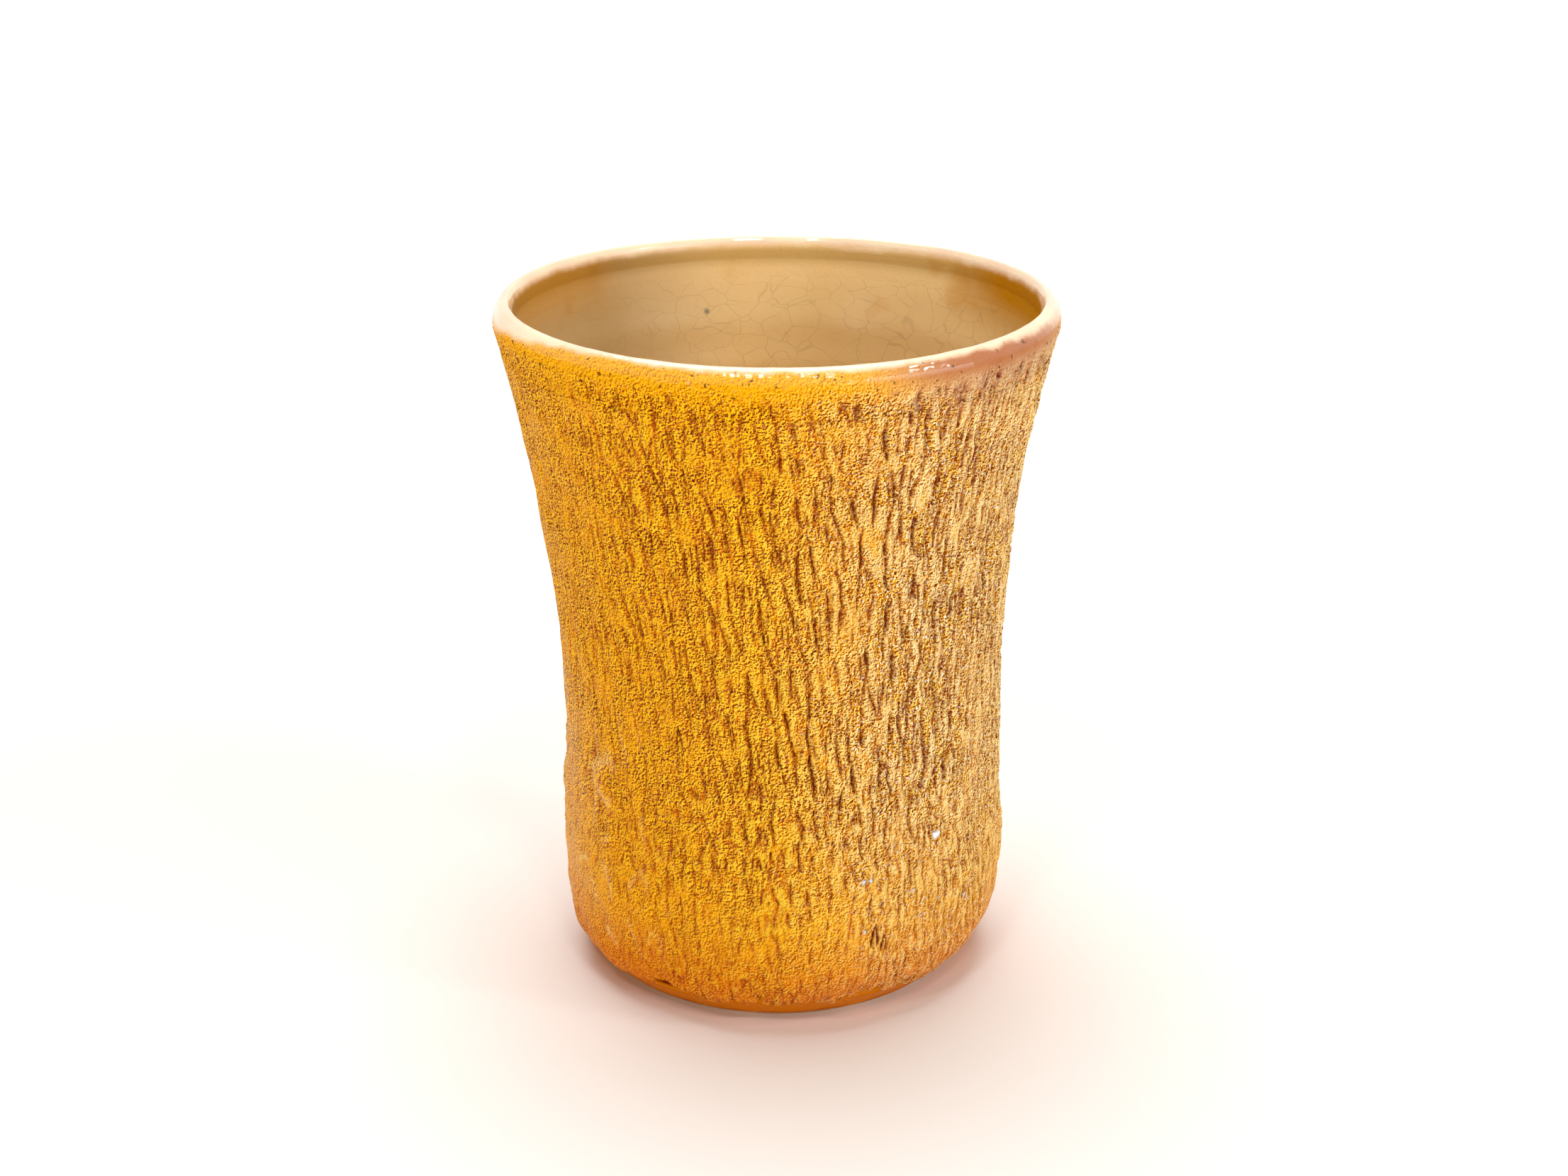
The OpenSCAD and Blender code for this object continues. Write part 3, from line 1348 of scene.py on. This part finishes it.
    def wrinkled(self, flow: Flow) -> Skin:
        """Raises the thin wrinkles of the left-hand side.

        Args:
            flow: The sheet of places that the tears follow.

        Returns:
            What this leaves.
        """
        rightward = self.rightward(flow.arc)
        left = smooth(-0.5, -0.85, rightward)
        low = smooth(56.0, 36.0, flow.up) * smooth(6.0, 12.0, flow.up)
        off = self.hills(85, 4.2, 22.0, flow)
        crest = left * low * np.exp(-((off / 0.09) ** 2))
        crest *= smooth(-0.2, 0.3, self.hills(86, 4.0, 8.0, flow))
        edge = smooth(-0.75, -0.95, rightward) * low
        # The sheen layer marks painted sheen on the wrinkles' crests and along the far left edge,
        # and raises the coat's gloss there
        return Skin(0.24 * crest, crest * 0, crest * 0, sheen=np.maximum(0.8 * crest, 0.3 * edge))

    def loose(self, across: np.ndarray, up: np.ndarray) -> Skin:
        """Cuts the tongues of loose skin: a pointed pit with the tongue standing in it.

        Args:
            across: Way round the wall of each place, in millimetres.
            up: Height of each place, in millimetres.

        Returns:
            What the tears leave.
        """
        relief, pooled = np.zeros_like(across), np.zeros_like(across)
        for tear in self.tears:
            off = across - math.radians(tear.degrees) * self.mean_radius_mm
            down = (tear.height_mm + tear.length_mm / 2 - up) / tear.length_mm
            half = tear.width_mm / 2 * np.sqrt(np.clip(down, 0.0, 1.0)) * smooth(1.1, 0.85, down)
            pit = smooth(0.1, -0.1, np.abs(off) - half) * smooth(-0.05, 0.1, down)
            tongue = smooth(0.06, -0.06, np.abs(off - 0.04) - half * 0.5) * smooth(0.1, 0.25, down)
            relief += tear.depth_mm * (1.2 * tongue - pit)
            pooled = np.maximum(pooled, 2.0 * (pit - tongue) * smooth(1.0, 0.7, down))
        return Skin(relief, np.clip(pooled, 0.0, 1.0), pooled * 0)

    def dripped(self, across: np.ndarray, up: np.ndarray) -> np.ndarray:
        """Sets drops of glass on the wall.

        Args:
            across: Way round the wall of each place, in millimetres.
            up: Height of each place, in millimetres.

        Returns:
            How far they stand out, in millimetres.
        """
        proud = np.zeros_like(across)
        for drop in self.drops:
            off = (across - math.radians(drop.degrees) * self.mean_radius_mm) / drop.width_mm * 2
            rise = (up - drop.height_mm) / drop.tall_mm * 2
            proud += drop.proud_mm * np.sqrt(np.clip(1.0 - off**2 - rise**2, 0.0, 1.0))
        return proud

    def skin(self, arc: np.ndarray, height: np.ndarray) -> Skin:
        """Gives all that the tearing leaves.

        Args:
            arc: Way round the wall of each column, in millimetres.
            height: Height of each ring, in millimetres.

        Returns:
            What is left at each ring and column.
        """
        across, up = (part.copy() for part in np.broadcast_arrays(arc[None, :], height[:, None]))
        flow = self.flow(across, up)
        wide = smooth(-0.5, 0.2, self.hills(75, 2.6, 4.5, flow)) * flow.force
        wide *= 1.0 - 0.2 * smooth(0.35, 0.8, self.rightward(across))
        slim = smooth(-0.2, 0.4, self.hills(74, 2.6, 5.0, flow)) * flow.force
        parts = (
            self.flaked(flow, self.large, wide),
            self.flaked(flow, self.small, slim),
            self.ribbed(flow),
            self.sandy(flow),
            self.wrinkled(flow),
            self.loose(across, up),
        )
        relief = np.clip(sum(part.relief for part in parts), -self.deepest_mm, self.proudest_mm)
        groove = np.clip(np.max([part.groove for part in parts], axis=0), 0.0, 1.0)
        raw_body_and_shade = np.clip(np.max([part.raw_body_and_shade for part in parts], axis=0), 0.0, 1.0)
        proud = np.clip((relief - softened(relief, 3)) / 0.12, -1.0, 1.0)
        dripped = self.dripped(across, up)
        drop = smooth(0.0, 0.15, dripped)
        sheen = sum(part.sheen for part in parts) * (1 - drop)
        return Skin(relief + dripped, groove * (1 - drop), raw_body_and_shade, proud, drop, sheen)


@dataclass
class TornWall(CupPiece):
    """The outer wall with its torn skin."""

    bark: Bark = Bark()
    columns: int = 1080
    rings: int = 300
    back_rings: int = 12
    back_mm: float = 1.6
    deepest_mm: float = 1.35
    tuck_mm: float = 1.3
    tuck_dive: float = 0.7
    cut_mm: float = 1.0
    cut_at: float = -75.0
    hem_mm: float = 0.36
    hem_proud_mm: float = 0.2

    def lumps(self, arc: np.ndarray, height: np.ndarray) -> np.ndarray:
        """Gives the wall's broad unevenness, with the cut heel on the left.

        Args:
            arc: Way round the wall of each column, in millimetres.
            height: Height of each ring, in millimetres.

        Returns:
            How far each ring and column stands out, in millimetres.
        """
        across, up = np.broadcast_arrays(arc[None, :], height[:, None])
        girth = self.bark.girth_mm
        broad = 0.2 * CellNoise(21, 13.0, 11.0).at(across, up, girth)
        broad += 0.15 * CellNoise(22, 6.0, 7.0).at(across, up, girth)
        broad *= (1.0 + 1.6 * smooth(42.0, 12.0, up)) * smooth(94.0, 86.0, up)
        turn = across / self.bark.mean_radius_mm - math.radians(self.cut_at)
        cut = smooth(0.2, 0.9, np.cos(turn)) * smooth(18.0, 10.0, up)
        cut *= 0.25 + 0.75 * smooth(4.0, 9.0, up)
        return broad - self.cut_mm * cut + self.hem_proud_mm * smooth(6.0, 3.4, up)

    def build(self, material: bpy.types.Material) -> bpy.types.Object:
        """Builds the torn wall.

        Args:
            material: The ochre coat.

        Returns:
            The finished piece.
        """
        front = resample(outline(self.node, Side.OUTER, 120), self.rings)
        angles = round_angles(self.columns)
        arc, height = angles * self.bark.mean_radius_mm, front[:, 1] / MM
        skin = self.bark.skin(arc, height)
        relief = np.maximum(skin.relief + self.lumps(arc, height), -self.deepest_mm)
        grid = front[:, None, :] + (relief * MM)[..., None] * normals_of(front)[:, None, :]
        sheet = np.broadcast_arrays(arc[None], height[:, None])
        hem = CellNoise(81, 3.2, 4.0).at(*sheet, self.bark.girth_mm)
        grid[..., 1] += self.hem_mm * MM * (0.9 + hem) * smooth(8.0, 3.2, height)[:, None]
        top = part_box(self.node)[1].z
        depth = self.tuck_mm * MM
        under_lip = tuck("lip_glaze", Side.OUTER, top, top + MM, depth, self.tuck_dive)
        back = resample(front, self.back_rings)[::-1] - [self.back_mm * MM, 0.0]
        hidden = np.vstack([under_lip, back])
        spots = np.concatenate([turned(grid, angles), turned(hidden, angles)])
        piece = grid_mesh("torn_wall", Throw.bend(spots), Ends.LOOP)
        layers = {"groove": skin.groove, "raw_body_and_shade": skin.raw_body_and_shade, "proud": skin.proud}
        layers |= {"drop": skin.drop, "sheen": skin.sheen}
        for layer, share in layers.items():
            paint(piece, layer, share)
        return self.seat(piece, material)


class Throw:
    """How far the hand-thrown cup strays from true."""

    LIP_DIP_MM = 1.6
    SWAY_MM = 0.8

    @classmethod
    def bend(cls, spots: np.ndarray) -> np.ndarray:
        """Bends true points: the lip dips towards the front and the lower wall sways to +X.

        Args:
            spots: Points in metres, with x, y and z along the last axis.

        Returns:
            The bent points.
        """
        x, y, z = np.moveaxis(spots, -1, 0)
        height = z / MM
        front = 0.5 - 0.5 * y / np.maximum(np.hypot(x, y), 0.001 * MM)
        dip = cls.LIP_DIP_MM * MM * front**2 * smooth(72.0, 96.0, height)
        sway = cls.SWAY_MM * MM * smooth(5.0, 20.0, height) * smooth(80.0, 42.0, height)
        return np.stack([x + sway, y, z - dip], axis=-1)


@dataclass
class Lip(CupPiece):
    """The smooth rounded lip with the glaze that caps it."""

    bark: Bark = Bark()
    columns: int = 720
    rings: int = 120
    tuck_mm: float = 0.3
    under_mm: float = 1.3
    under_dive: float = 0.7
    mean_radius_mm: float = 38.0
    swell_mm: float = 0.07
    ripple_mm: float = 0.03
    flat_mm: float = 0.07
    flat_drop_mm: float = 0.8
    flat_half_mm: float = 0.55
    inner_flat_mm: float = 0.04
    inner_drop_mm: float = 0.32
    inner_half_mm: float = 0.25

    def build(self, material: bpy.types.Material) -> bpy.types.Object:
        """Builds the lip as a closed cap whose edges tuck under the wall and the liner.

        Args:
            material: The lip's glaze.

        Returns:
            The finished piece.
        """
        outer, inner = outline(self.node, Side.OUTER, 60), self.inner_line()
        skin = resample(np.vstack([outer, inner[::-1]]), self.rings)
        angles = round_angles(self.columns)
        share = np.linspace(0.0, 1.0, self.rings)
        arc, height = np.meshgrid(angles * self.mean_radius_mm, share * 12.0)
        girth = math.tau * self.mean_radius_mm
        wave = self.swell_mm * CellNoise(31, 9.0, 6.0).at(arc, height, girth)
        wave += self.ripple_mm * CellNoise(32, 3.0, 3.0).at(arc, height, girth)
        wave *= (smooth(0.0, 0.2, share) * smooth(1.0, 0.8, share))[:, None]
        torn = self.bark.skin(angles * self.bark.mean_radius_mm, skin[:, 1] / MM)
        outer_side = (np.arange(self.rings) < np.argmax(skin[:, 1]))[:, None]
        wave += torn.relief * outer_side
        below = (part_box(self.node)[1].z - skin[:, 1]) / MM
        outer_flat = np.exp(-(((below - self.flat_drop_mm) / self.flat_half_mm) ** 2))
        inner_flat = np.exp(-(((below - self.inner_drop_mm) / self.inner_half_mm) ** 2))
        wave -= self.flat_mm * outer_flat[:, None] * outer_side
        wave -= self.inner_flat_mm * inner_flat[:, None] * ~outer_side
        grid = skin[:, None, :] + (wave * MM)[..., None] * normals_of(skin)[:, None, :]
        wall_top, liner_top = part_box("wall_coat")[1].z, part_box("liner_glaze")[1].z
        inner_edge = tuck("liner_glaze", Side.INNER, liner_top, liner_top - MM, self.tuck_mm * MM)
        depth = self.under_mm * MM
        outer_edge = tuck("wall_coat", Side.OUTER, wall_top, wall_top - MM, depth, self.under_dive)
        core = np.vstack([inner_edge, outer_edge[::-1]])
        spots = np.concatenate([turned(grid, angles), turned(core, angles)])
        piece = grid_mesh("lip", Throw.bend(spots), Ends.LOOP)
        layers = {"groove": torn.groove, "raw_body_and_shade": torn.raw_body_and_shade, "proud": torn.proud}
        for layer, share in layers.items():
            paint(piece, layer, share * outer_side)
        return self.seat(piece, material)

    def inner_line(self) -> np.ndarray:
        """Reads the inner side of the lip, from the liner's edge up.

        Returns:
            Points as rows of (radius, height) in metres.
        """
        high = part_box(self.node)[1].z
        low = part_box("liner_glaze")[1].z
        heights = np.linspace(low + 0.02 * MM, high - 0.01 * MM, 40)
        return np.column_stack([feel(self.node, heights, Side.INNER), heights])


@dataclass
class Liner(CupPiece):
    """The inside of the cup: a smooth wall with faint throwing rings, and its floor."""

    rings: int = 120
    skin_mm: float = 0.4
    ring_mm: float = 0.06
    ring_turn: float = 0.9
    pole_mm: float = 0.2

    def build(self, material: bpy.types.Material) -> bpy.types.Object:
        """Builds the liner as a closed shell.

        Args:
            material: The crackled glaze.

        Returns:
            The finished piece.
        """
        low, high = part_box(self.node)
        floor = low.z + self.skin_mm * MM
        share = np.linspace(0.0, 1.0, 90) ** 1.6
        heights = floor + 0.02 * MM + (high.z - floor - 0.04 * MM) * share
        wall = np.column_stack([feel(self.node, heights, Side.INNER), heights])
        inside = resample(np.vstack([[self.pole_mm * MM, floor], wall]), self.rings)
        facing = normals_of(inside)
        up = inside[:, 1] / MM
        rings = self.ring_mm * np.sin(up * self.ring_turn + 0.5) * smooth(8.0, 20.0, up)
        rings *= smooth(high.z / MM, high.z / MM - 8.0, up)
        inside = inside + (rings * MM)[:, None] * facing
        under_lip = tuck("lip_glaze", Side.INNER, high.z, high.z + MM, self.skin_mm * MM / 2)
        outside = inside + facing * self.skin_mm * MM
        angles = round_angles(self.columns)
        spots = turned(np.vstack([outside, under_lip[::-1], inside[::-1]]), angles)
        return self.seat(grid_mesh("liner", Throw.bend(spots), Ends.POLES), material)


@dataclass
class FootBand(CupPiece):
    """The glazed bevel above the foot, with the glaze rolled to a bead at its lower edge."""

    rings: int = 20
    rise_mm: float = 1.4
    under_mm: float = 0.45
    under_dive: float = 0.8
    mean_radius_mm: float = 28.0
    bead_mm: float = 0.12
    wave_mm: float = 0.06

    def build(self, material: bpy.types.Material) -> bpy.types.Object:
        """Builds the band, which runs on a little under the ragged edge of the wall.

        Args:
            material: The amber glaze.

        Returns:
            The finished piece.
        """
        front = resample(outline(self.node, Side.OUTER, 12), self.rings)
        angles = round_angles(self.columns)
        share = np.linspace(0.0, 1.0, self.rings)
        bead = self.bead_mm * np.exp(-(((share - 0.12) / 0.1) ** 2)) - 0.2 * smooth(0.08, 0.0, share)
        arc, height = np.meshgrid(angles * self.mean_radius_mm, share * 3.0)
        wander = CellNoise(41, 7.0, 2.0).at(arc, height, math.tau * self.mean_radius_mm)
        proud = (bead[:, None] + self.wave_mm * wander) * MM
        grid = front[:, None, :] + proud[..., None] * normals_of(front)[:, None, :]
        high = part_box(self.node)[1].z
        stop, depth = high + self.rise_mm * MM, self.under_mm * MM
        under_wall = tuck("wall_coat", Side.OUTER, high, stop, depth, self.under_dive)
        back = np.vstack([under_wall, under_wall[-1] - [0.5 * MM, 0.0], front[0] - [0.6 * MM, 0.0]])
        spots = np.concatenate([turned(grid, angles), turned(back, angles)])
        return self.seat(grid_mesh("foot_band", spots, Ends.LOOP), material)


@dataclass
class ClayBody(CupPiece):
    """The thrown clay, seen only on the foot and under it."""

    inset_mm: float = 1.45
    inner_inset_mm: float = 0.3
    top_mm: float = 1.5
    pole_mm: float = 0.2

    def build(self, material: bpy.types.Material) -> bpy.types.Object:
        """Builds the clay from the middle of the underside, up the wall and down to the floor.

        Args:
            material: The bare clay.

        Returns:
            The finished piece.
        """
        foot = outline("foot_glaze", Side.OUTER, 8)
        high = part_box(self.node)[1].z - self.top_mm * MM
        heights = np.linspace(foot[-1, 1], high, 60)
        wall = np.column_stack([feel(self.node, heights, Side.OUTER), heights])
        wall[:, 0] -= self.inset_mm * MM * smooth(foot[-1, 1], foot[-1, 1] + 0.8 * MM, heights)
        inner_heights = np.linspace(high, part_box("liner_glaze")[0].z + 0.05 * MM, 60)
        inner = np.column_stack([feel(self.node, inner_heights, Side.INNER), inner_heights])
        inner[:, 0] += self.inner_inset_mm * MM
        line = np.vstack([self.underside(), wall, inner])
        spots = turned(line, round_angles(self.columns))
        return self.seat(grid_mesh("clay", Throw.bend(spots), Ends.POLES), material)

    def underside(self) -> np.ndarray:
        """Feels the underside from the axis out to the foot's edge.

        Returns:
            Points as rows of (radius, height) in metres.
        """
        edge = float(feel(self.node, np.array([0.02 * MM]), Side.OUTER)[0])
        points = []
        for radius in np.linspace(self.pole_mm * MM, edge - 0.05 * MM, 80):
            spot = solid(self.node).ray_cast(Vector((radius, 0, -0.01)), Vector((0, 0, 1)))[0]
            points.append((radius, spot.z))
        return np.array([*points, (edge, 0.15 * MM)])


@dataclass(frozen=True)
class Lamp:
    """A large, far lamp: the way to it, how wide it looks in degrees, and its level."""

    name: str
    way: Spot
    width: float
    level: float

    def hang(self) -> None:
        """Hangs the lamp, whose level 1 shows a white surface that faces it as white."""
        data = bpy.data.lights.new(self.name, "SUN")
        data.angle = math.radians(self.width)
        data.energy = self.level * math.pi
        lamp = bpy.data.objects.new(self.name, data)
        lamp.rotation_euler = Vector(self.way).to_track_quat("Z", "Y").to_euler()
        bpy.context.scene.collection.objects.link(lamp)


@dataclass(frozen=True)
class Studio:
    """The plain floor, soft light and camera."""

    frame_px: tuple[int, int] = (2212, 1659)
    focal_px: float = 3322.0
    sensor_mm: float = 36.0
    camera_mm: Spot = (1.0, -326.5, 173.6)
    pitch: float = 19.77
    floor_m: float = 12.0
    floor_bounce: Colour = (1.0, 0.95, 0.88)
    floor_seen: Colour = (0.87, 0.84, 0.81)
    painted_bounce_glow: Colour = (0.06, 0.02, 0.0)
    ambient: float = 0.09
    lamps: tuple[Lamp, ...] = (
        Lamp("overhead", (-0.05, 0.23, 0.97), 47.0, 0.91),
        Lamp("key", (-0.63, -0.77, 0.06), 18.0, 0.40),
        Lamp("fill", (0.83, -0.54, 0.06), 60.0, 0.77),
        Lamp("window_left", (-0.215, -0.532, 0.819), 6.6, 0.09),
        Lamp("window_right", (0.158, -0.552, 0.819), 6.6, 0.09),
        Lamp("window_side", (0.72, -0.262, 0.643), 6.6, 0.08),
    )

    def build(self) -> None:
        """Sets up the floor, the world, the lamps and the camera."""
        self.floor()
        self.world()
        for lamp in self.lamps:
            lamp.hang()
        self.camera()
        bpy.context.scene.view_settings.view_transform = "Standard"

    def floor(self) -> None:
        """Lays a pale floor that shows white to the camera and keeps the cup's shadow."""
        graph = Graph.material("studio_floor")
        seen = graph.shown()
        bounce = graph.out("ShaderNodeBsdfDiffuse", 0, None, {"Color": self.floor_bounce})
        matt = graph.out("ShaderNodeBsdfDiffuse", 0, None, {"Color": self.floor_seen})
        # Painted light: a faint warm glow, seen straight and in reflections, stands in for light
        # bounced onto the floor from the cup
        glow = graph.out("ShaderNodeEmission", 0, None, {"Color": self.painted_bounce_glow})
        lit = graph.out("ShaderNodeAddShader", 0, None, {0: matt, 1: glow})
        both = graph.out("ShaderNodeMixShader", 0, None, {0: seen, 1: bounce, 2: lit})
        graph.node("ShaderNodeOutputMaterial", None, {"Surface": both})
        half = self.floor_m / 2
        mesh = bpy.data.meshes.new("studio_floor")
        corners = [(-half, -half, 0), (half, -half, 0), (half, half, 0), (-half, half, 0)]
        mesh.from_pydata(corners, [], [(0, 1, 2, 3)])
        mesh.materials.append(graph.owner)
        floor = bpy.data.objects.new("studio_floor", mesh)
        bpy.context.scene.collection.objects.link(floor)

    def world(self) -> None:
        """Lights the scene evenly and shows white behind it."""
        graph = Graph(bpy.data.worlds.new("studio"))
        seen = graph.shown()
        white = (1.0, 1.0, 1.0)
        soft = graph.out("ShaderNodeBackground", 0, None, {"Color": white, "Strength": self.ambient})
        full = graph.out("ShaderNodeBackground", 0, None, {"Color": white, "Strength": 1.0})
        both = graph.out("ShaderNodeMixShader", 0, None, {0: seen, 1: soft, 2: full})
        graph.node("ShaderNodeOutputWorld", None, {"Surface": both})
        bpy.context.scene.world = graph.owner

    def camera(self) -> None:
        """Sets the camera where the photograph was taken from."""
        data = bpy.data.cameras.new("camera")
        data.sensor_fit = "HORIZONTAL"
        data.sensor_width = self.sensor_mm
        data.lens = self.sensor_mm * self.focal_px / self.frame_px[0]
        data.clip_start = 0.01
        camera = bpy.data.objects.new("camera", data)
        camera.location = Vector(self.camera_mm) * MM
        camera.rotation_euler = (math.radians(90.0 - self.pitch), 0.0, 0.0)
        bpy.context.scene.collection.objects.link(camera)
        bpy.context.scene.camera = camera


def main() -> None:
    """Builds the cup piece by piece and then the studio round it."""
    logging.basicConfig(level=logging.INFO)
    lip_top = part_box("lip_glaze")[1]
    coat = OchreCoat(lip_top.z / MM)
    inner = LinerGlaze(lip_top.z / MM)
    lip = LipGlaze(coat, inner, lip_top.x / MM - CREST_INSET_MM)
    ClayBody("clay_body", "bare_clay").build(BareClay().finish())
    Liner("liner_glaze", "liner_glaze").build(inner.finish())
    TornWall("wall_coat", "ochre_coat").build(coat.finish())
    Lip("lip_glaze", "lip_glaze").build(lip.finish())
    FootBand("foot_glaze", "foot_glaze").build(FootGlaze().finish())
    Studio().build()


if __name__ == "__main__":
    main()
